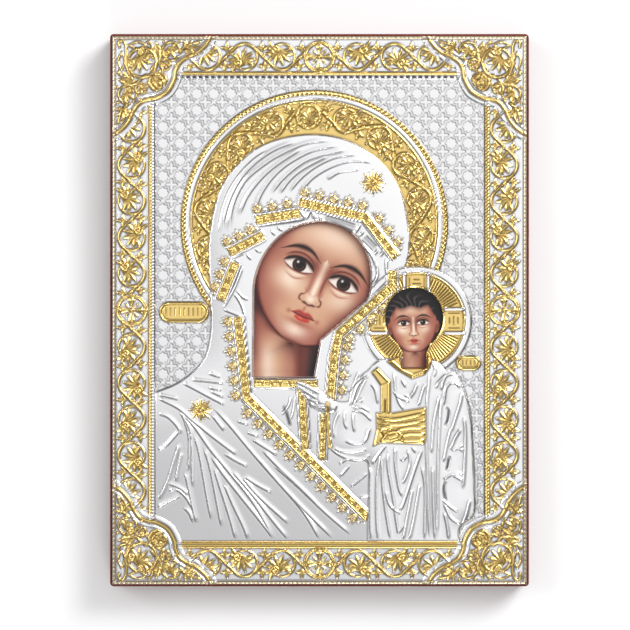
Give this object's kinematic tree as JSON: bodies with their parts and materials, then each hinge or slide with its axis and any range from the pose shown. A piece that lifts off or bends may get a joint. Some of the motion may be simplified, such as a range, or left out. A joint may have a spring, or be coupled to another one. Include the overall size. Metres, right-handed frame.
{
  "type": "icon panel",
  "caption": "Upright icon panel: lacquered wooden board under an embossed, part-gilded metal cover with scroll border, halos and openings for painted faces.",
  "frame": {"origin": "middle of the board's back face, on which the panel lies", "axes": "+Y to the top of the picture, +X to its right, +Z out of its face"},
  "size_m": [0.182, 0.24, 0.0219],
  "materials": {
    "lacquered_wood": "dark red-brown lacquer, glossy",
    "painted_sheet": "printed picture sheet, satin",
    "metal_cover": "polished silver plate, the ornament gilded"
  },
  "bodies": {
    "root": {"board": "lacquered_wood", "painted_sheet": "painted_sheet", "metal_cover": "metal_cover"}
  },
  "joints": []
}
